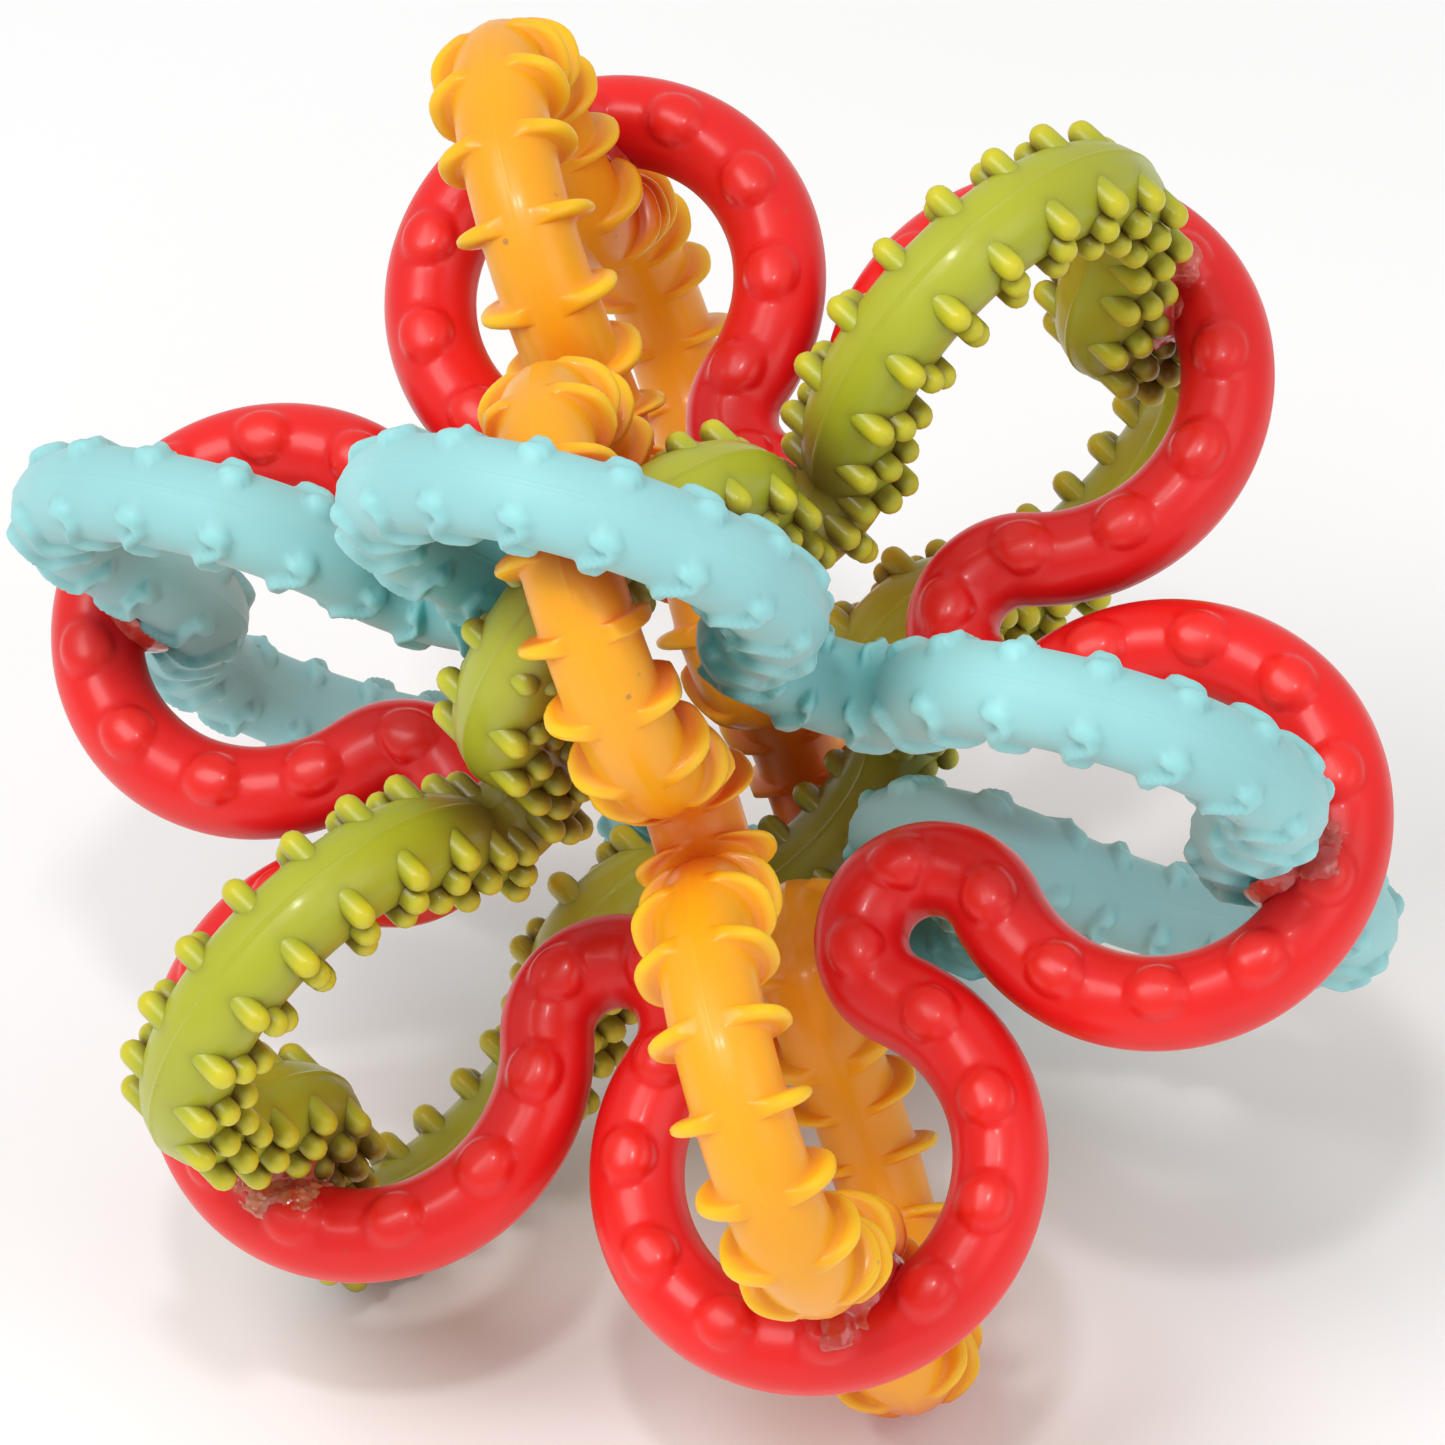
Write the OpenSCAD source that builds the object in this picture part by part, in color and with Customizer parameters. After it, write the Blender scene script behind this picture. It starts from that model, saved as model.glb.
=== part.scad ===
// Soft teething ball: four closed wavy silicone tubes crossed over each other into an
// open ball. One ring is the equator. The other three stand upright through it, 60
// degrees apart, and cross one inside the other at the two poles.
//
// Origin: the centre of the ball. +Z is up, with the ball lying still on a table.
// +X runs through the two bonds of the outer upright ring, and the polar axis leans
// from +Z towards -Y by rest_lean. All radii of a ring are to its tube's centreline.

/* [Tube] */
// Diameter of the round silicone tube
tube_d = 8; // [7:0.1:8.2]

/* [Equator ring] */
// Radius from the centre of the ball to the tip of a lobe
tip_r = 56; // [55:0.5:58]
// Radius of a round lobe
lobe_r = 15.5; // [15.2:0.1:16]
// Radius of the tight bend between two lobes
bight_r = 6; // [5.8:0.1:6.4]

/* [Upright rings] */
// Radius of the notch that holds the equator ring's tube
notch_r = 14; // [13:0.5:15]
// Radius to the tip of the four lobes next to the notches
side_tip_r = 58; // [57:0.5:59]
// Radius of those four lobes
side_lobe_r = 15.5; // [15:0.1:16]
// Radius to the outer ring's tip at each pole
outer_pole_r = 62; // [61.6:0.1:62.5]
// Radius of the outer ring's pole lobes
outer_pole_lobe_r = 16.5; // [16:0.1:17]
// Step in pole radius from one ring to the next inside it
pole_step = 9.4; // [9.2:0.1:9.6]
// Step in pole lobe radius from one ring to the next inside it
pole_lobe_step = 1.3; // [1:0.1:1.5]
// How much wider the bend beside a pole lobe is than the tightest that fits
waist_slack = 0.15; // [0.1:0.05:0.3]

/* [Bonds] */
// Gap left for adhesive between the equator tube and an upright tube
bond_gap = 0.6; // [0.6:0.1:0.8]
// Clearance from the adhesive to the upright tube, which twists beside it
bond_clear = 0.4; // [0.35:0.05:0.45]
// Radius of the adhesive bead
bond_r = 5.2; // [4.8:0.1:5.6]

/* [Rest] */
// Lean of the polar axis when the ball lies on three lobes
rest_lean = 37; // [36:0.5:38]

/* [Hidden] */
$fn = 64;
tube_r = tube_d / 2;
joint_lip = 0.1;
joint_l = 1;
lobe_count = 6;
pitch = 360 / lobe_count;
bond_sweep = 90;

// Turn about the polar axis of each upright ring's plane
outer_turn = 0;
inner_turn = pitch;
middle_turn = 2 * pitch;

// Equator ring: each bend touches its neighbours, so the tube has no corner
lobe_c = tip_r - lobe_r;
bight_c = lobe_c * cos(pitch / 2)
    - sqrt(pow(lobe_r + bight_r, 2) - pow(lobe_c * sin(pitch / 2), 2));
lobe_half = heading(polar(bight_c, pitch / 2) - [lobe_c, 0]);
bight_half = lobe_half - pitch / 2;

// Upright rings: x runs out to a bond and y up the polar axis
notch_c = [tip_r - tube_d - bond_gap + notch_r, 0];
side_c_r = side_tip_r - side_lobe_r;
side_c = polar(side_c_r, corner(notch_c[0], side_c_r, notch_r + side_lobe_r));

function polar(r, angle) = r * [cos(angle), sin(angle)];
function heading(v) = atan2(v[1], v[0]);

// Angle between sides a and b of a triangle whose third side is c
function corner(a, b, c) = acos((a * a + b * b - c * c) / (2 * a * b));

// Radius of the bend that bridges two lobes
function waist_r(pole_c, pole_lobe_r) =
    (norm(pole_c - side_c) - side_lobe_r - pole_lobe_r) / 2 + waist_slack;

// Centre of that bend, on the side of the ball's centre
function waist_c(pole_c, pole_lobe_r) =
    let(
        r = waist_r(pole_c, pole_lobe_r),
        to_pole = heading(pole_c - side_c),
        turn = corner(side_lobe_r + r, norm(pole_c - side_c), pole_lobe_r + r)
    )
    side_c + polar(side_lobe_r + r, to_pole + turn);

// One bend of tube about a centre, from one angle through a sweep
module bend(centre, r, from, sweep, radius = tube_r) {
    translate(centre)
        rotate([0, 0, from])
            rotate_extrude(angle = sweep)
                translate([r, 0])
                    circle(r = radius);
}

// A hair-thin lip where two bends meet, which joins them into one solid
module joint(centre, r, angle) {
    translate(centre)
        rotate([0, 0, angle])
            translate([r, 0, 0])
                rotate([90, 0, 0])
                    cylinder(r = tube_r + joint_lip, h = joint_l, center = true);
}

module equator_tube() {
    for (k = [0 : lobe_count - 1])
        rotate([0, 0, k * pitch]) {
            bend([lobe_c, 0], lobe_r, -lobe_half, 2 * lobe_half);
            joint([lobe_c, 0], lobe_r, lobe_half);
            joint([lobe_c, 0], lobe_r, -lobe_half);
            rotate([0, 0, pitch / 2])
                bend([bight_c, 0], bight_r, 180 - bight_half, 2 * bight_half);
        }
}

// A notch at each bond, a lobe on either side of it, and a lobe at each pole
module upright_tube(pole_r, pole_lobe_r) {
    pole_c = [0, pole_r - pole_lobe_r];
    bend_r = waist_r(pole_c, pole_lobe_r);
    bend_c = waist_c(pole_c, pole_lobe_r);
    notch_half = 180 - heading(side_c - notch_c);
    side_from = heading(notch_c - side_c);
    side_sweep = heading(bend_c - side_c) - side_from;
    waist_from = heading(pole_c - bend_c);
    waist_sweep = 360 + heading(side_c - bend_c) - waist_from;
    pole_from = heading(bend_c - pole_c);
    for (turn = [0, 180])
        rotate([0, 0, turn]) {
            bend(notch_c, notch_r, 180 - notch_half, 2 * notch_half);
            bend(pole_c, pole_lobe_r, pole_from, 2 * (90 - pole_from));
            for (flip = [0, 1])
                mirror([flip, 0, 0]) {
                    bend(side_c, side_lobe_r, side_from, side_sweep);
                    bend(bend_c, bend_r, waist_from, waist_sweep);
                    joint(side_c, side_lobe_r, side_from);
                    joint(bend_c, bend_r, waist_from);
                    joint(bend_c, bend_r, waist_from + waist_sweep);
                }
        }
}

// Leans the ball's own polar frame over to the way it lies
module lie() {
    rotate([rest_lean, 0, 0])
        children();
}

// Stands a flat ring or bend upright and turns it about the polar axis
module stand(turn) {
    rotate([0, 0, turn])
        rotate([90, 0, 0])
            children();
}

// Adhesive that fills the crotch where two tubes cross, bonded to the equator tube
module bond(turn) {
    lie()
        difference() {
            rotate([0, 0, turn])
                translate([tip_r - tube_r - bond_gap / 2, 0, 0])
                    sphere(r = bond_r);
            rotate([0, 0, turn])
                bend([lobe_c, 0], lobe_r, -bond_sweep / 2, bond_sweep);
            stand(turn)
                bend(notch_c, notch_r, 180 - bond_sweep / 2, bond_sweep, tube_r + bond_clear);
        }
}

module equator_ring() {
    color("red")
        lie()
            equator_tube();
}

module outer_ring() {
    color("paleturquoise")
        lie()
            stand(outer_turn)
                upright_tube(outer_pole_r, outer_pole_lobe_r);
}

module middle_ring() {
    color("orange")
        lie()
            stand(middle_turn)
                upright_tube(outer_pole_r - pole_step, outer_pole_lobe_r - pole_lobe_step);
}

module inner_ring() {
    color("yellowgreen")
        lie()
            stand(inner_turn)
                upright_tube(outer_pole_r - 2 * pole_step, outer_pole_lobe_r - 2 * pole_lobe_step);
}

module adhesive(turn) {
    color("mistyrose")
        bond(turn);
}

equator_ring();
outer_ring();
middle_ring();
inner_ring();
adhesive(outer_turn);  // outer_bond_a
adhesive(outer_turn + 180);  // outer_bond_b
adhesive(middle_turn);  // middle_bond_a
adhesive(middle_turn + 180);  // middle_bond_b
adhesive(inner_turn);  // inner_bond_a
adhesive(inner_turn + 180);  // inner_bond_b
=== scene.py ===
"""Soft teething ball of four interlaced wavy silicone rings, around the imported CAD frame."""
import math

import bpy
import numpy as np
from mathutils import Matrix, Vector, noise
from mathutils.kdtree import KDTree


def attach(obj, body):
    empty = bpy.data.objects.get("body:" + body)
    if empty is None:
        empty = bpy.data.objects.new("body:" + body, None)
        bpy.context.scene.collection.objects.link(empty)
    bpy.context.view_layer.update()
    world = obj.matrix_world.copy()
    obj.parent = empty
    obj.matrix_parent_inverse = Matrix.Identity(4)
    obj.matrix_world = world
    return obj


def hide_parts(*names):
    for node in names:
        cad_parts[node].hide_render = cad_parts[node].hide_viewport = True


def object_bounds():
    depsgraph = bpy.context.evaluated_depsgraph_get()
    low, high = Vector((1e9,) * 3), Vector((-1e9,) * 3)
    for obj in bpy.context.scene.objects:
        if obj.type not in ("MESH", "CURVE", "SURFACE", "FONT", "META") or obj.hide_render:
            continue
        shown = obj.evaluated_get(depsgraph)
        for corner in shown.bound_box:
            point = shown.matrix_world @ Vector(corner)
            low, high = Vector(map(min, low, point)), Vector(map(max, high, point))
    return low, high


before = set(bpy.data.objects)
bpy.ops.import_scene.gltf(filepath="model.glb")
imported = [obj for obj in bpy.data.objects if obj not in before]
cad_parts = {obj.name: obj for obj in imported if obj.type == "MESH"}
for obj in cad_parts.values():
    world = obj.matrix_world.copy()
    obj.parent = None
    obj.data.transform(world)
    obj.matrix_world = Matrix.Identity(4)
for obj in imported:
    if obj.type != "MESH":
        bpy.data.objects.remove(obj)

CAD_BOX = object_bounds()
MM = 0.001

# ---------------------------------------------------------------- the rings' routes, in mm
# The same bends as in the CAD part, because each detailed tube replaces its plain one.
TUBE_R = 4.0
PITCH = math.radians(60)
REST_LEAN = math.radians(37)
TIP_R, LOBE_R, BIGHT_R = 56.0, 15.5, 6.0
NOTCH_R, SIDE_TIP_R, SIDE_LOBE_R = 14.0, 58.0, 15.5
POLE_R, POLE_LOBE_R, POLE_STEP, POLE_LOBE_STEP = 62.0, 16.5, 9.4, 1.3
WAIST_SLACK, BOND_GAP = 0.15, 0.6


def polar(r, angle):
    return r * np.array([math.cos(angle), math.sin(angle)])


def heading(v):
    return math.atan2(v[1], v[0])


def corner(a, b, c):
    """Angle between sides a and b of a triangle whose third side is c."""
    return math.acos((a * a + b * b - c * c) / (2 * a * b))


def turned(arcs, angle):
    """The same arcs turned about the ring's centre."""
    m = np.array([[math.cos(angle), -math.sin(angle)], [math.sin(angle), math.cos(angle)]])
    return [(m @ c, r, a + angle, sweep) for c, r, a, sweep in arcs]


def mirrored(arcs):
    """The same arcs mirrored left to right and run the other way."""
    out = []
    for c, r, a, sweep in reversed(arcs):
        out.append((c * [-1, 1], r, math.pi - a - sweep, sweep))
    return out


def equator_arcs():
    """Each arc is (centre, radius, first angle, sweep); a negative sweep bends inwards."""
    lobe_c = TIP_R - LOBE_R
    bight_c = lobe_c * math.cos(PITCH / 2) - math.sqrt(
        (LOBE_R + BIGHT_R) ** 2 - (lobe_c * math.sin(PITCH / 2)) ** 2)
    lobe_half = heading(polar(bight_c, PITCH / 2) - [lobe_c, 0])
    bight_half = lobe_half - PITCH / 2
    one = [(np.array([lobe_c, 0.0]), LOBE_R, -lobe_half, 2 * lobe_half)]
    one += turned([(np.array([bight_c, 0.0]), BIGHT_R, math.pi + bight_half, -2 * bight_half)],
                  PITCH / 2)
    return [arc for k in range(6) for arc in turned(one, k * PITCH)]


def upright_arcs(inside):
    """inside is 0 for the outer ring, 1 for the middle one and 2 for the inner one."""
    pole_lobe_r = POLE_LOBE_R - inside * POLE_LOBE_STEP
    pole_c = np.array([0.0, POLE_R - inside * POLE_STEP - pole_lobe_r])
    notch_c = np.array([TIP_R - 2 * TUBE_R - BOND_GAP + NOTCH_R, 0.0])
    side_c_r = SIDE_TIP_R - SIDE_LOBE_R
    side_c = polar(side_c_r, corner(notch_c[0], side_c_r, NOTCH_R + SIDE_LOBE_R))
    span = np.linalg.norm(pole_c - side_c)
    waist_r = (span - SIDE_LOBE_R - pole_lobe_r) / 2 + WAIST_SLACK
    turn = corner(SIDE_LOBE_R + waist_r, span, pole_lobe_r + waist_r)
    waist_c = side_c + polar(SIDE_LOBE_R + waist_r, heading(pole_c - side_c) + turn)
    notch_half = math.pi - heading(side_c - notch_c)
    side_from = heading(notch_c - side_c)
    side_sweep = heading(waist_c - side_c) - side_from
    waist_from = heading(pole_c - waist_c)
    waist_sweep = math.tau + heading(side_c - waist_c) - waist_from
    pole_from = heading(waist_c - pole_c)
    rise = [(side_c, SIDE_LOBE_R, side_from, side_sweep),
            (waist_c, waist_r, waist_from + waist_sweep, -waist_sweep)]
    pole = [(pole_c, pole_lobe_r, pole_from, math.pi - 2 * pole_from)]
    notch = [(notch_c, NOTCH_R, math.pi + notch_half, -2 * notch_half)]
    half = notch + rise + pole + mirrored(rise)
    return half + turned(half, math.pi)


class Route:
    """A closed run of arcs that a tube follows, by distance along it."""

    def __init__(self, arcs):
        self.centre = np.array([a[0] for a in arcs])
        self.r, self.start, self.sweep = (np.array([a[i] for a in arcs]) for i in (1, 2, 3))
        self.ends = np.cumsum(self.r * np.abs(self.sweep))
        self.length = self.ends[-1]

    def at(self, s):
        """Points on the route and the normals that face away from the ring's inside."""
        s = np.mod(s, self.length)
        i = np.searchsorted(self.ends, s, side="right").clip(0, len(self.r) - 1)
        begin = self.ends[i] - self.r[i] * np.abs(self.sweep[i])
        way = np.sign(self.sweep[i])
        a = self.start[i] + way * (s - begin) / self.r[i]
        out = np.stack([np.cos(a), np.sin(a)], -1)
        return self.centre[i] + self.r[i][..., None] * out, out * way[..., None]

    def line(self, spacing):
        """Points all along the route, about this far apart."""
        count = round(self.length / spacing)
        return self.at(np.linspace(0, self.length, count, endpoint=False))[0]


def upright_place(turn):
    """Where an upright ring's own frame lies on the ball, with its bonds on its x axis."""
    return (Matrix.Rotation(REST_LEAN, 4, "X") @ Matrix.Rotation(turn, 4, "Z")
            @ Matrix.Rotation(math.pi / 2, 4, "X"))


RED_ROUTE, RED_PLACE = Route(equator_arcs()), Matrix.Rotation(REST_LEAN, 4, "X")
UPRIGHT = {"outer": (Route(upright_arcs(0)), upright_place(0)),
           "middle": (Route(upright_arcs(1)), upright_place(2 * PITCH)),
           "inner": (Route(upright_arcs(2)), upright_place(PITCH))}


# ---------------------------------------------------------------- room for the relief
TWIST = math.radians(3)       # how far an upright ring turns each way about its own x axis
NEIGHBOUR_STEP = 0.7          # spacing of the points that stand for a neighbour's centre line
RIDGE_MARGIN = 0.15           # part of each gap that ridges and fins leave free
PEG_MARGIN = 0.4              # the same for pegs, which are wide


def point_tree(points):
    """A search tree for the nearest of the points."""
    tree = KDTree(len(points))
    for i, p in enumerate(points):
        tree.insert(p, i)
    tree.balance()
    return tree


def neighbours(name):
    """The other upright rings' centre lines, as this ring meets them over all the twists."""
    own = UPRIGHT[name][1]
    seen = []
    for other, (route, place) in UPRIGHT.items():
        if other == name:
            continue
        line = route.line(NEIGHBOUR_STEP)
        for mine in (-TWIST, 0, TWIST):
            for theirs in (-TWIST, 0, TWIST):
                move = (own @ Matrix.Rotation(-mine, 4, "X") @ own.inverted()
                        @ place @ Matrix.Rotation(theirs, 4, "X"))
                seen += [move @ Vector((x, y, 0)) for x, y in line]
    return point_tree(seen), own


def headroom(points, around_it, margin):
    """How high relief may stand at points in the ring's frame: half of each gap to a neighbour."""
    tree, own = around_it
    gaps = [tree.find(own @ Vector(p))[2] - TUBE_R for p in points]
    return np.clip((np.array(gaps) - margin) / 2, 0, None)


# ---------------------------------------------------------------- tubes and their relief
STRIP = math.radians(27)      # half of each smooth strip, on the outer and the inner side
SEAM_W = 0.15                 # width of the raised parting line in the middle of each strip
SEAM_ANGLES = [0.0, 1.6, 3.2, 5.5]      # degrees from a seam of the mesh lines beside it
STRIP_END = 24                # degrees from a seam where the strip's wider mesh steps end


def smoothstep(x):
    x = np.clip(x, 0, 1)
    return x * x * (3 - 2 * x)


def spaced(route, pitch, offsets):
    """How many features fit, their exact step, and the mesh's distances along the route."""
    count = round(route.length / pitch)
    step = route.length / count
    k = np.arange(count)[:, None] * step
    return count, step, np.sort(np.mod(k + np.asarray(offsets)[None, :] * step / pitch,
                                       route.length).ravel())


def around(face_step, strip_step):
    """Angles round the tube, from steps in degrees, with more of them at the two seams."""
    keep = list(SEAM_ANGLES)
    a = keep[-1]
    while a < 90 - 1e-6:
        a += strip_step if a < STRIP_END else face_step
        keep.append(min(a, 90.0))
    if keep[-1] - keep[-2] < face_step / 3:
        keep.pop(-2)
    q = np.array(keep)
    full = np.concatenate([q, 180 - q[-2::-1], 180 + q[1:], 360 - q[-2:0:-1]])
    return np.radians(full)


def tube_mesh(route, s, phi, height, seam_height, around_it=None):
    """A closed tube whose surface stands height(s, phi) above the plain one."""
    centre, out = route.at(s)
    grid_s, grid_phi = np.meshgrid(s, phi, indexing="ij")
    from_seam = TUBE_R * np.arcsin(np.abs(np.sin(grid_phi)))
    high = height(grid_s, grid_phi)
    if around_it:
        base = centre[:, None, :] + (TUBE_R * np.cos(grid_phi))[..., None] * out[:, None, :]
        base = np.concatenate([base, (TUBE_R * np.sin(grid_phi))[..., None]], -1)
        room = headroom(base.reshape(-1, 3), around_it, RIDGE_MARGIN)
        high = np.minimum(high, room.reshape(high.shape))
    r = TUBE_R + high + seam_height * np.exp(-(from_seam / SEAM_W) ** 2)
    x = centre[:, None, :] + (r * np.cos(grid_phi))[..., None] * out[:, None, :]
    z = r * np.sin(grid_phi)
    verts = np.concatenate([x, z[..., None]], -1).reshape(-1, 3)
    n, m = len(s), len(phi)
    i, j = np.meshgrid(np.arange(n), np.arange(m), indexing="ij")
    i2, j2 = (i + 1) % n, (j + 1) % m
    faces = np.stack([i * m + j, i2 * m + j, i2 * m + j2, i * m + j2], -1).reshape(-1, 4)
    return verts, faces[:, ::-1]


def linked(name, data):
    """A new object in the scene."""
    obj = bpy.data.objects.new(name, data)
    bpy.context.scene.collection.objects.link(obj)
    return obj


def mesh_object(name, verts, faces, place):
    """An object of four-sided faces, from points in mm."""
    mesh = bpy.data.meshes.new(name)
    mesh.vertices.add(len(verts))
    mesh.vertices.foreach_set("co", (verts * MM).astype(np.float32).ravel())
    mesh.loops.add(faces.size)
    mesh.loops.foreach_set("vertex_index", faces.astype(np.int32).ravel())
    mesh.polygons.add(len(faces))
    mesh.polygons.foreach_set("loop_start", np.arange(0, faces.size, 4, dtype=np.int32))
    mesh.update(calc_edges=True)
    mesh.transform(place)
    mesh.shade_smooth()
    return linked(name, mesh)


def bake_modifiers(obj):
    """Puts the result of the object's modifiers in its mesh."""
    dg = bpy.context.evaluated_depsgraph_get()
    baked = bpy.data.meshes.new_from_object(obj.evaluated_get(dg), depsgraph=dg)
    obj.modifiers.clear()
    old, obj.data = obj.data, baked
    bpy.data.meshes.remove(old)


# The relief functions below give the height above the plain tube, in mm, at distances s along
# the route and angles phi round the tube.
def face_side(phi):
    """How far round the tube a point is from the middle of its face, in radians."""
    return np.arcsin(np.clip(np.abs(np.cos(phi)), 0, 1)) * np.sign(np.cos(phi))


def along(s, step):
    """Distance from the nearest feature along the route."""
    return (s + step / 2) % step - step / 2


def domes(step, radius=2.6, height=1.0, bulge=1.15, rim=0.35):
    """Low round studs along the middle of both faces."""
    def at(s, phi):
        side = face_side(phi)
        d = np.hypot(along(s, step), TUBE_R * side)
        cap = np.sqrt(np.clip(1 - (d / radius) ** 2, 0, 1))
        return height * smoothstep(cap * bulge) * (rim + (1 - rim) * cap)
    return at


def gills(step, half_width=0.7, low=0.6, high=1.95, edge=0.6, root_height=0.13,
          climb=math.radians(52), fullness=2.6):
    """Crescent fins across both faces, thin beside the strips and tall between them."""
    def at(s, phi):
        side = face_side(phi)
        from_strip = math.pi / 2 - np.abs(side) - STRIP
        rise = smoothstep(from_strip / climb)
        cap = np.sqrt(np.clip(1 - (1 - np.clip(from_strip * TUBE_R / edge, 0, 1)) ** 2, 0, 1))
        u = along(s, step) / half_width
        ridge = np.sqrt(np.clip(1 - np.abs(u) ** fullness, 0, 1))
        root = root_height * np.exp(-np.clip(np.abs(u) - 0.8, 0, None) ** 2 / 0.15)
        return cap * (low + (high - low) * rise) * np.maximum(ridge, root)
    return at


def ripples(step, height=0.85, half_width=0.72, swing=0.85, wave=4.8, inset=0.5, edge=0.6,
            knob_inset=1.0, knob_height=0.88, knob_r=0.95, knob_stretch=1.35):
    """Zigzag ridges across both faces, with a knob at each end."""
    def at(s, phi):
        side = face_side(phi)
        x = TUBE_R * side
        reach = TUBE_R * (math.pi / 2 - STRIP)
        bend = swing * np.cos(math.tau * x / wave)
        slope = -swing * math.tau / wave * np.sin(math.tau * x / wave)
        u = along(s, step)
        d = np.abs(u - bend) / np.sqrt(1 + slope ** 2) / half_width
        ridge = np.cos(np.clip(d, 0, 1) * math.pi / 2) ** 1.3
        end = np.clip((reach - inset - np.abs(x)) / edge, 0, 1)
        end = np.sqrt(1 - (1 - end) ** 2)
        knob_x = reach - knob_inset
        knob_u = swing * np.cos(math.tau * knob_x / wave)
        k = np.hypot((u - knob_u) / knob_stretch, np.abs(x) - knob_x) / knob_r
        knob = knob_height * smoothstep(np.sqrt(np.clip(1 - k ** 2, 0, 1)))
        return np.maximum(height * ridge * end, knob)
    return at


PEG_R, PEG_LEAST = 1.15, 0.4       # radius, and the least height that a peg may be cut down to
PEG_SIDES, PEG_ROUNDS = 14, 4      # mesh steps round a peg and over its end
PEG_SEED = 7
TIP_JITTER, R_JITTER, PLACE_JITTER = (-0.12, 0.12), (0.97, 1.03), (-0.08, 0.08)
# Each peg of a row: its place across the face, and how far its tip and its foot are from the
# ring's middle plane.
PEG_ROW = ((-2.35, 5.5, 0.5), (0.0, 5.95, 1.6), (2.35, 5.5, 0.5))


def add_peg(verts, faces, c, foot, tip, r, face):
    """One closed round-ended peg at c, standing up (face 1) or down (face -1)."""
    base = len(verts)
    rows = [(foot, 0.0), (foot, r), ((foot + tip - r) / 2, r)]
    rows += [(tip - r + r * math.sin(t), r * math.cos(t))
             for t in np.linspace(0, math.pi / 2, PEG_ROUNDS + 1)]
    for z, rr in rows:
        if rr < 1e-6:
            verts.append((c[0], c[1], z * face))
            continue
        for t in np.linspace(0, math.tau, PEG_SIDES, endpoint=False):
            verts.append((c[0] + rr * math.cos(t), c[1] + rr * math.sin(t), z * face))
    last = len(verts) - 1
    lines = [base + 1 + i * PEG_SIDES for i in range(len(rows) - 2)]
    for i in range(PEG_SIDES):
        j = (i + 1) % PEG_SIDES
        loops = [(base, lines[0] + j, lines[0] + i)]
        loops += [(a + i, a + j, b + j, b + i) for a, b in zip(lines, lines[1:])]
        loops.append((lines[-1] + i, lines[-1] + j, last))
        faces += [f if face > 0 else f[::-1] for f in loops]


def pegs(route, step, count, around_it):
    """Round-ended pegs that stand straight out of both faces, three across."""
    rng = np.random.default_rng(PEG_SEED)
    verts, faces = [], []
    for k in range(count):
        (point,), (out,) = route.at(np.array([(k + 0.5) * step]))
        across = np.array([-out[1], out[0]])
        for offset, height, foot in PEG_ROW:
            for face in (1, -1):
                tip = height + rng.uniform(*TIP_JITTER)
                r = PEG_R * rng.uniform(*R_JITTER)
                c = point + offset * out + rng.uniform(*PLACE_JITTER) * across
                skin = math.sqrt(TUBE_R ** 2 - offset ** 2)
                room = headroom([(c[0], c[1], skin * face)], around_it, PEG_MARGIN)[0]
                if room >= PEG_LEAST:
                    add_peg(verts, faces, c, foot, min(tip, skin + room), r, face)
    return verts, faces


RELIEF_STEP = 0.5                  # spacing of the centre line's points for measuring the relief


def mark_relief(obj, route, place, top):
    """Writes how far points stand above the plain tube, 1 being top mm, for the material."""
    mesh = obj.data
    co = np.empty(len(mesh.vertices) * 3)
    mesh.vertices.foreach_get("co", co)
    tree = point_tree([place @ Vector((x * MM, y * MM, 0)) for x, y in route.line(RELIEF_STEP)])
    far = np.array([tree.find(p)[2] for p in co.reshape(-1, 3)]) / MM - TUBE_R
    field = mesh.attributes.new("relief", "FLOAT", "POINT")
    field.data.foreach_set("value", np.clip(far / top, 0, 1).astype(np.float32))


def boolean_union(obj, other):
    """Fuses other into obj and removes it."""
    mod = obj.modifiers.new("union", "BOOLEAN")
    mod.operation, mod.object, mod.solver = "UNION", other, "MANIFOLD"
    bake_modifiers(obj)
    bpy.data.objects.remove(other)


# ---------------------------------------------------------------- materials
def rgb(r, g, b):
    """A colour given in the usual 0 to 255 screen numbers, as the linear one that nodes use."""
    def lin(c):
        c /= 255
        return c / 12.92 if c <= 0.04045 else ((c + 0.055) / 1.055) ** 2.4
    return (lin(r), lin(g), lin(b), 1.0)


class Nodes:
    """A material's node tree, with short ways to add the nodes that are used here."""

    def __init__(self, name):
        self.mat = bpy.data.materials.new(name)
        self.mat.use_nodes = True
        self.tree = self.mat.node_tree
        self.bsdf = self.tree.nodes["Principled BSDF"]
        self.coords = self.add("ShaderNodeTexCoord").outputs["Object"]

    def add(self, kind, links=(), **values):
        node = self.tree.nodes.new(kind)
        for key, value in values.items():
            if hasattr(node, key):
                setattr(node, key, value)
            else:
                node.inputs[key.replace("_", " ")].default_value = value
        for socket, source in dict(links).items():
            self.tree.links.new(source, node.inputs[socket])
        return node

    def noise(self, scale, detail=2.0, roughness=0.5):
        return self.add("ShaderNodeTexNoise", {"Vector": self.coords}, Scale=scale,
                        Detail=detail, Roughness=roughness).outputs["Fac"]

    def ramp(self, fac, low, high, a=0.0, b=1.0):
        return self.add("ShaderNodeMapRange", {"Value": fac}, From_Min=low, From_Max=high,
                        To_Min=a, To_Max=b, interpolation_type="SMOOTHSTEP").outputs["Result"]

    def mix(self, fac, a, b, blend="MIX"):
        node = self.tree.nodes.new("ShaderNodeMix")
        node.data_type, node.blend_type = "RGBA", blend
        for index, value in ((0, fac), (6, a), (7, b)):
            if isinstance(value, bpy.types.NodeSocket):
                self.tree.links.new(value, node.inputs[index])
            else:
                node.inputs[index].default_value = value
        return node.outputs[2]


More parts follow.
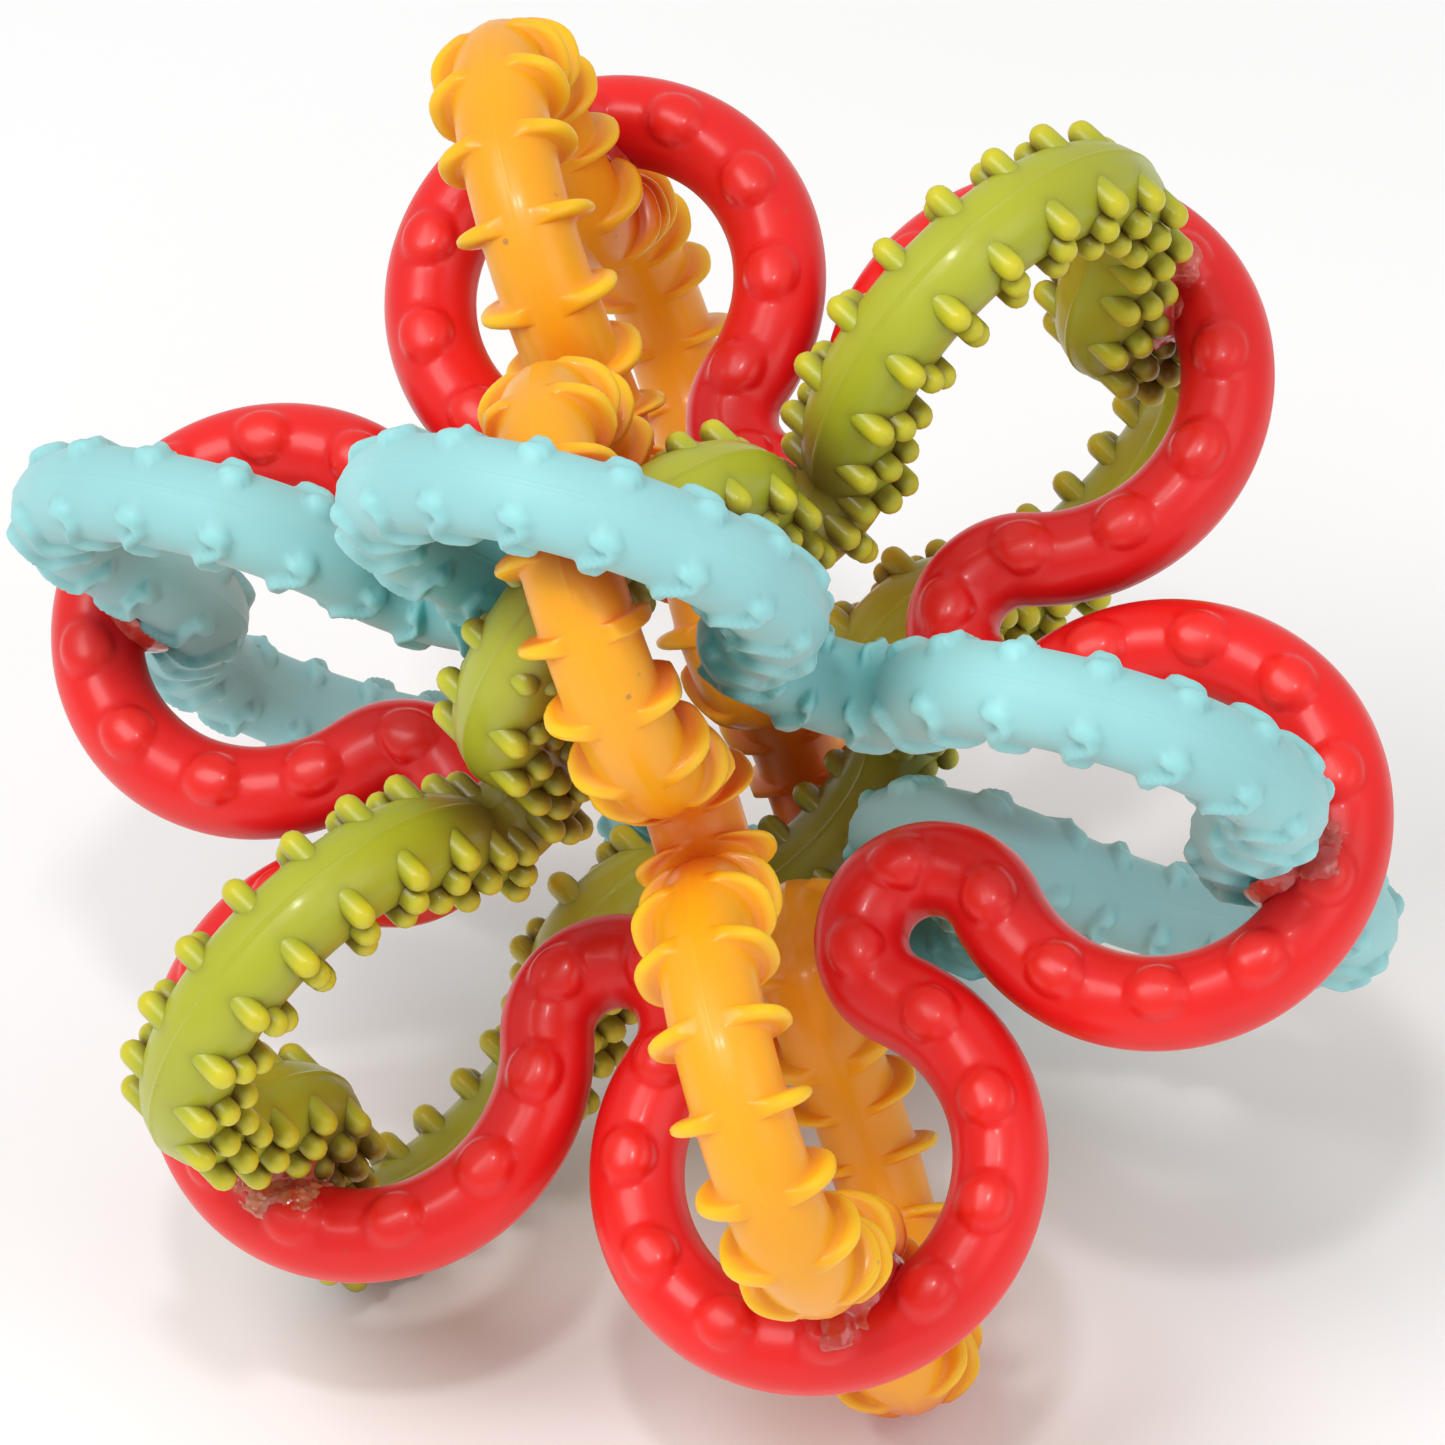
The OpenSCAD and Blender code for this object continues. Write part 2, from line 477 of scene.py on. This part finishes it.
# Scales of the silicone's noises, in cells to the metre, and the reach of the ambient occlusion
# that places its painted shade.
CLOUDS, LINT, DUST, SMEARS, DENTS, GRAIN = 55.0, 260.0, 90.0, 160.0, 420.0, 2600.0
PAINTED_SHADE_REACH = 0.016


def silicone(name, body, raised, painted_shade, roughness=0.38, sheen_light=0.0, soft=0.25,
             reach=(1.0, 0.6, 0.4), coat=0.0, specks=0.5, dent=0.2):
    """Moulded silicone: body colour, raised for the relief, and a painted shade colour that
    ambient occlusion mixes in at creases and between the rings.
    """
    n = Nodes(name)
    relief = n.add("ShaderNodeAttribute", attribute_name="relief").outputs["Fac"]
    # Painted shade: where ambient occlusion finds creases and nearby rings, the colour turns to
    # the shade colour.
    painted_shade_mask = n.add("ShaderNodeAmbientOcclusion", samples=8, Distance=PAINTED_SHADE_REACH).outputs["AO"]
    clouds = n.noise(CLOUDS, 3.0)
    colour = n.mix(n.ramp(relief, 0.1, 0.9), body, raised)
    colour = n.mix(n.ramp(painted_shade_mask, 0.85, 0.25), colour, painted_shade)
    tone = n.mix(n.ramp(clouds, 0.35, 0.7), (0.93, 0.93, 0.93, 1), (1.04, 1.04, 1.04, 1))
    colour = n.mix(1.0, colour, tone, "MULTIPLY")
    lint = n.add("ShaderNodeTexVoronoi", {"Vector": n.coords}, Scale=LINT).outputs["Distance"]
    where = n.ramp(n.noise(DUST, 1.0), 0.60, 0.66)
    dust = n.add("ShaderNodeMath", {0: n.ramp(lint, 0.10, 0.05), 1: where}, operation="MULTIPLY")
    dust = n.add("ShaderNodeMath", {0: dust.outputs[0]}, operation="MULTIPLY")
    dust.inputs[1].default_value = specks
    colour = n.mix(dust.outputs[0], colour, (0.16, 0.12, 0.09, 1))
    links = n.tree.links
    links.new(colour, n.bsdf.inputs["Base Color"])
    smear = n.noise(SMEARS, 4.0, 0.6)
    links.new(n.ramp(smear, 0.3, 0.75, roughness * 0.85, roughness * 1.2),
              n.bsdf.inputs["Roughness"])
    grain = n.noise(GRAIN, 3.0, 0.6)
    dents = n.noise(DENTS, 2.0)
    fine = n.add("ShaderNodeBump", {"Height": grain}, Strength=0.12, Distance=0.00006)
    broad = n.add("ShaderNodeBump", {"Height": dents, "Normal": fine.outputs[0]},
                  Strength=dent, Distance=0.00018)
    links.new(broad.outputs[0], n.bsdf.inputs["Normal"])
    n.bsdf.subsurface_method = "RANDOM_WALK"
    n.bsdf.inputs["Subsurface Weight"].default_value = soft
    n.bsdf.inputs["Subsurface Radius"].default_value = reach
    n.bsdf.inputs["Subsurface Scale"].default_value = 0.0035
    n.bsdf.inputs["Specular IOR Level"].default_value = 0.5
    n.bsdf.inputs["IOR"].default_value = 1.42
    n.bsdf.inputs["Coat Weight"].default_value = coat
    n.bsdf.inputs["Coat Roughness"].default_value = 0.12
    n.bsdf.inputs["Sheen Weight"].default_value = sheen_light
    n.bsdf.inputs["Sheen Roughness"].default_value = 0.5
    return n.mat


# The fourth colour of each silicone is painted shade, mixed in at its creases and between the
# rings.
RED = silicone("red_silicone", rgb(232, 24, 22), rgb(233, 34, 28), rgb(204, 12, 22),
               roughness=0.36, coat=0.12, soft=0.3, reach=(1.0, 0.25, 0.2), specks=0.15, dent=0.08)
TEAL = silicone("teal_silicone", rgb(150, 206, 208), rgb(150, 212, 214), rgb(78, 172, 174),
                roughness=0.5, soft=0.25, reach=(0.7, 1.0, 1.0), sheen_light=0.1)
YELLOW = silicone("yellow_silicone", rgb(244, 166, 22), rgb(250, 190, 20), rgb(230, 92, 18),
                  roughness=0.36, coat=0.1, soft=0.3, reach=(1.0, 0.6, 0.15))
GREEN = silicone("green_silicone", rgb(172, 176, 42), rgb(200, 190, 36), rgb(124, 104, 36),
                 roughness=0.36, coat=0.15, soft=0.25, reach=(0.9, 1.0, 0.2))


BUBBLES, MURK = 900.0, 500.0       # scales of the adhesive's noises, in cells to the metre


def glue(name, tint, cloud, clear):
    """Clear adhesive that has set with bubbles and a little dirt in it."""
    n = Nodes(name)
    links = n.tree.links
    bubbles = n.add("ShaderNodeTexVoronoi", {"Vector": n.coords}, Scale=BUBBLES)
    murk = n.noise(MURK, 3.0, 0.6)
    links.new(n.mix(n.ramp(murk, 0.4, 0.7), tint, cloud), n.bsdf.inputs["Base Color"])
    bump = n.add("ShaderNodeBump", {"Height": bubbles.outputs["Distance"]}, Strength=0.5,
                 Distance=0.00025)
    links.new(bump.outputs[0], n.bsdf.inputs["Normal"])
    links.new(n.ramp(murk, 0.3, 0.8, 0.06, 0.28), n.bsdf.inputs["Roughness"])
    n.bsdf.inputs["Transmission Weight"].default_value = clear
    n.bsdf.inputs["IOR"].default_value = 1.43
    n.bsdf.inputs["Coat Weight"].default_value = 1.0
    n.bsdf.inputs["Coat Roughness"].default_value = 0.05
    return n.mat


CLEAR_GLUE = glue("clear_adhesive", rgb(234, 62, 54), rgb(240, 116, 100), 0.3)
DUSTY_GLUE = glue("dusty_adhesive", rgb(204, 70, 48), rgb(216, 132, 98), 0.12)


# ---------------------------------------------------------------- the four rings
STUD_PITCH, RIPPLE_PITCH, FIN_PITCH, PEG_PITCH = 9.0, 6.4, 6.4, 5.3    # asked for, in mm
RED_SEAM, TEAL_SEAM, YELLOW_SEAM, GREEN_SEAM = 0.03, 0.08, 0.05, 0.16  # heights, in mm
SHARP_ANGLE = math.radians(42)     # steeper edges, at the feet of the pegs, aren't smoothed
# Offsets of the yellow ring's mesh lines from the middle of each fin, close at its two edges.
FIN_LINES = [0, 0.22, 0.41, 0.55, 0.64, 0.70, 0.78, 0.98, 1.5, 2.4]


def steps(pitch, count):
    """Even offsets from the start of one pitch."""
    return np.arange(count) * pitch / count


def plain(s, phi):
    """No relief."""
    return 0 * s


def finish_ring(obj, material, node, body):
    """Gives a ring its material, hides the CAD part that it stands for and puts it on the body it
    rides on.
    """
    obj.data.materials.clear()
    obj.data.materials.append(material)
    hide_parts(node)
    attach(obj, body)


_, step, s = spaced(RED_ROUTE, STUD_PITCH, steps(STUD_PITCH, 18) - STUD_PITCH / 2)
STUDS = domes(step)
red = mesh_object("red_studded_ring",
                  *tube_mesh(RED_ROUTE, s, around(4.6, 7.0), STUDS, RED_SEAM),
                  RED_PLACE)
mark_relief(red, RED_ROUTE, RED_PLACE, 1.0)
finish_ring(red, RED, "equator_ring", "equator")

TEAL_ROUTE, TEAL_PLACE = UPRIGHT["outer"]
_, step, s = spaced(TEAL_ROUTE, RIPPLE_PITCH, steps(RIPPLE_PITCH, 18) - RIPPLE_PITCH / 2)
teal = mesh_object("teal_rippled_ring",
                   *tube_mesh(TEAL_ROUTE, s, around(5.6, 8.5), ripples(step), TEAL_SEAM,
                              neighbours("outer")),
                   TEAL_PLACE)
mark_relief(teal, TEAL_ROUTE, TEAL_PLACE, 1.0)
finish_ring(teal, TEAL, "outer_ring", "outer")

YELLOW_ROUTE, YELLOW_PLACE = UPRIGHT["middle"]
_, step, s = spaced(YELLOW_ROUTE, FIN_PITCH, [-x for x in FIN_LINES[:0:-1]] + FIN_LINES)
yellow = mesh_object("yellow_finned_ring",
                     *tube_mesh(YELLOW_ROUTE, s, around(6.0, 8.5), gills(step), YELLOW_SEAM,
                                neighbours("middle")),
                     YELLOW_PLACE)
mark_relief(yellow, YELLOW_ROUTE, YELLOW_PLACE, 1.6)
finish_ring(yellow, YELLOW, "middle_ring", "middle")

GREEN_ROUTE, GREEN_PLACE = UPRIGHT["inner"]
count, step, s = spaced(GREEN_ROUTE, PEG_PITCH, steps(PEG_PITCH, 6))
green = mesh_object("green_pegged_ring",
                    *tube_mesh(GREEN_ROUTE, s, around(8.0, 8.0), plain, GREEN_SEAM),
                    GREEN_PLACE)
peg_verts, peg_faces = pegs(GREEN_ROUTE, step, count, neighbours("inner"))
peg_mesh = bpy.data.meshes.new("pegs")
peg_mesh.from_pydata((np.array(peg_verts) * MM).tolist(), [], peg_faces)
peg_mesh.transform(GREEN_PLACE)
boolean_union(green, linked("pegs", peg_mesh))
green.data.shade_smooth()
green.data.set_sharp_from_angle(angle=SHARP_ANGLE)
mark_relief(green, GREEN_ROUTE, GREEN_PLACE, 2.0)
finish_ring(green, GREEN, "inner_ring", "inner")


# ---------------------------------------------------------------- the adhesive at the crossings
FILM_SIDE = 1.9        # how far round the red tube the film's patch goes, in radians
FILM_ROOT = 0.8        # how deep the patch starts below the plain red surface
FILM_TILT = 0.55       # how far round the tube the film's middle is from the patch's, in radians
FILM_WRAP = 1.35       # how far round the tube the film reaches from its own middle, in radians
FILM_MARGIN = 1.5      # how far the patch goes along the tube each way, in reaches of the film
FILM_LINES = 61        # mesh lines along the patch, and round it
VOXEL = 0.0002         # mesh size of the adhesive, in m
LUMPS, SMALL_LUMPS, GRIT = 420, 1100, 2300     # scales of its bumps, in cells to the metre
LUMP_HEIGHT = 0.00010  # in m


def film(lobe, slide, reach, thick, seed):
    """A thin uneven film over the red tube near a lobe's tip, closed below the surface.

    slide moves it along the tube from the tip; reach is its half length and thick its height.
    """
    tip = RED_ROUTE.r[0] * RED_ROUTE.sweep[0] / 2 + lobe * RED_ROUTE.length / 6
    middle = tip + slide
    s = middle + np.linspace(-1, 1, FILM_LINES) * reach * FILM_MARGIN
    side = np.linspace(-1, 1, FILM_LINES) * FILM_SIDE
    centre, out = RED_ROUTE.at(s)
    skin = STUDS(*np.meshgrid(s, side + math.pi, indexing="ij")) + TUBE_R
    for i, ds in enumerate(s - middle):
        for j, a in enumerate(side):
            blot = noise.noise((ds * 0.35 + seed * 9.1, a * 1.4, seed * 2.3))
            edge = noise.noise((ds * 1.1, a * 4.4 + seed * 5.7, 3.1))
            oval = 1 - (ds / reach) ** 2 - ((a + FILM_TILT) / FILM_WRAP) ** 2
            spot = oval + 0.9 * blot + 0.5 * edge
            skin[i, j] += thick * min(max(1.6 * spot, -0.9), 1)
    angle = np.concatenate([side, side[::-1]]) + math.pi
    r = np.concatenate([skin, np.full(skin.shape, TUBE_R - FILM_ROOT)], 1)
    flat = centre[:, None] + (r * np.cos(angle))[..., None] * out[:, None]
    points = np.concatenate([flat, (r * np.sin(angle))[..., None]], -1).reshape(-1, 3) * MM
    m = len(angle)
    faces = [list(range(m)), list(range(len(points) - m, len(points)))[::-1]]
    for i in range(len(s) - 1):
        for j in range(m):
            k = (j + 1) % m
            faces.append([i * m + k, i * m + j, (i + 1) * m + j, (i + 1) * m + k])
    return [RED_PLACE @ Vector(p) for p in points], faces


def adhesive(name, node, lobe, slide, reach, thick, grain, material):
    """The CAD bead with a film round it, roughened into an uneven set drop."""
    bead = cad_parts[node].data
    verts, faces = film(lobe, slide, reach, thick, lobe + 1)
    base = len(verts)
    verts += [v.co.copy() for v in bead.vertices]
    faces += [[base + i for i in p.vertices] for p in bead.polygons]
    mesh = bpy.data.meshes.new(name)
    mesh.from_pydata(verts, [], faces)
    obj = linked(name, mesh)
    remesh = obj.modifiers.new("even", "REMESH")
    remesh.mode, remesh.voxel_size = "VOXEL", VOXEL
    bake_modifiers(obj)
    new = obj.data
    shift = Vector((lobe * 3.7, lobe * 1.3, lobe * 5.1))
    old = [(v.co.copy(), v.normal.copy()) for v in new.vertices]
    moved = []
    for co, normal in old:
        lump = (noise.noise(co * LUMPS + shift)
                + 0.5 * noise.noise(co * SMALL_LUMPS + shift))
        rough = noise.noise(co * GRIT) * grain * MM
        moved += (co + normal * (lump * LUMP_HEIGHT + rough))[:]
    new.vertices.foreach_set("co", moved)
    new.update()
    new.shade_smooth()
    new.materials.clear()
    new.materials.append(material)
    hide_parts(node)
    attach(obj, "equator")


adhesive("outer_adhesive_a", "outer_bond_a", 0, 0.0, 3.4, 0.22, 0.04, CLEAR_GLUE)
adhesive("inner_adhesive_a", "inner_bond_a", 1, 0.5, 5.4, 0.30, 0.06, CLEAR_GLUE)
adhesive("middle_adhesive_a", "middle_bond_a", 2, 0.0, 3.4, 0.22, 0.04, CLEAR_GLUE)
adhesive("outer_adhesive_b", "outer_bond_b", 3, 0.0, 4.4, 0.26, 0.04, CLEAR_GLUE)
adhesive("inner_adhesive_b", "inner_bond_b", 4, 2.2, 6.4, 0.34, 0.14, DUSTY_GLUE)
adhesive("middle_adhesive_b", "middle_bond_b", 5, 0.0, 3.0, 0.25, 0.04, CLEAR_GLUE)

# ---------------------------------------------------------------- floor, light and camera
FLOOR_SIZE, FLOOR_GAP = 4.0, 0.0004      # in m; the gap is from the CAD box down to the floor
WORLD_STRENGTH = 0.62
VIEW_AZIMUTH, VIEW_ELEVATION, VIEW_ROLL = 21.48, 37.9, -0.72
VIEW_DISTANCE = 0.7725
VIEW_LENS, VIEW_SENSOR = 227.0, 36
VIEW_SHIFT = (0.0091, -0.0014)


def way_out(azimuth, elevation):
    """The direction from the ball's centre, in degrees from the front and from the horizon."""
    a, e = math.radians(azimuth), math.radians(elevation)
    return Vector((math.sin(a) * math.cos(e), -math.cos(a) * math.cos(e), math.sin(e)))


low = Vector(CAD_BOX[0])
bpy.ops.mesh.primitive_plane_add(size=FLOOR_SIZE, location=(0, 0, low.z - FLOOR_GAP))
floor = bpy.context.object
floor.name = "floor"
paper = Nodes("paper")
clouding = paper.ramp(paper.noise(6.0, 2.0), 0.3, 0.7)
paper.tree.links.new(paper.mix(clouding, (0.93, 0.93, 0.925, 1), (0.95, 0.95, 0.95, 1)),
                     paper.bsdf.inputs["Base Color"])
paper.bsdf.inputs["Roughness"].default_value = 0.9
floor.data.materials.append(paper.mat)

back = way_out(VIEW_AZIMUTH, VIEW_ELEVATION)
cam_data = bpy.data.cameras.new("camera")
cam = linked("camera", cam_data)
cam.rotation_mode = "QUATERNION"
cam.rotation_quaternion = ((-back).to_track_quat("-Z", "Y")
                           @ Matrix.Rotation(math.radians(VIEW_ROLL), 3, "Z").to_quaternion())
cam.location = back * VIEW_DISTANCE
cam_data.sensor_width = VIEW_SENSOR
cam_data.lens = VIEW_LENS
cam_data.shift_x, cam_data.shift_y = VIEW_SHIFT
cam_data.clip_start, cam_data.clip_end = 0.05, 20
bpy.context.scene.camera = cam


def area_light(name, azimuth, elevation, distance, size, power):
    """A square white soft box that faces the ball."""
    way = way_out(azimuth, elevation)
    data = bpy.data.lights.new(name, "AREA")
    data.energy, data.size = power, size
    light = linked(name, data)
    light.location = way * distance
    light.rotation_mode = "QUATERNION"
    light.rotation_quaternion = (-way).to_track_quat("-Z", "Y")


area_light("key", -35, 55, 0.9, 0.45, 3.7)
area_light("fill", 70, 35, 1.1, 0.7, 1.9)
area_light("front", 15, 62, 0.8, 0.06, 1.1)
world = bpy.data.worlds.new("studio")
world.use_nodes = True
world.node_tree.nodes["Background"].inputs["Color"].default_value = (1, 1, 1, 1)
world.node_tree.nodes["Background"].inputs["Strength"].default_value = WORLD_STRENGTH
bpy.context.scene.world = world
bpy.context.scene.view_settings.view_transform = "Standard"
